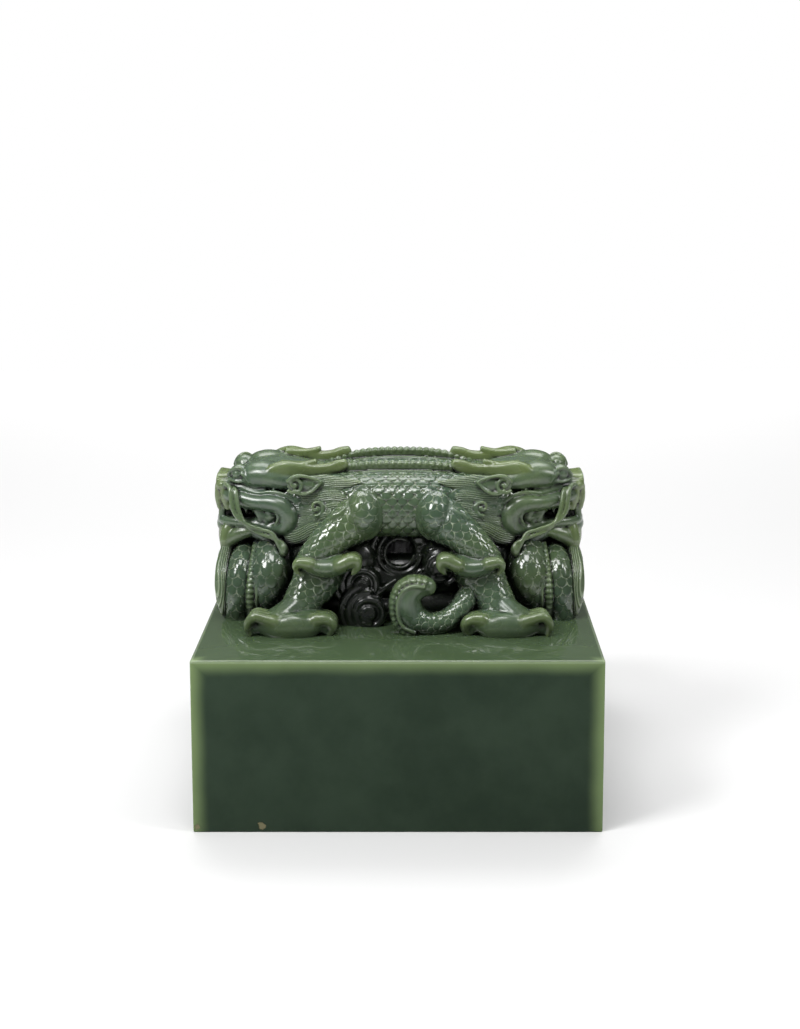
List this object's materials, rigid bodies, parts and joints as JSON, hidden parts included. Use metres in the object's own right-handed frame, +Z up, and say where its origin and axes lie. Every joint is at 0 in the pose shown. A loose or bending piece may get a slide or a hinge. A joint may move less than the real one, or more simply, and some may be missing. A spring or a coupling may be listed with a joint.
{
  "type": "jade seal stamp",
  "caption": "Square jade seal: a plain block with a fretwork stamp face below and a carved knob of joined dragons over a cord way.",
  "frame": {"origin": "middle of the stamp face, on the surface that the seal stands on", "axes": "+Z up from the stamp face to the knob, +X along the dragons' bodies to a head, -Y to the side pictured"},
  "size_m": [0.128, 0.128, 0.1083],
  "materials": {
    "jade": "polished spinach-green nephrite"
  },
  "bodies": {
    "root": {"jade_seal": "jade"}
  },
  "joints": []
}
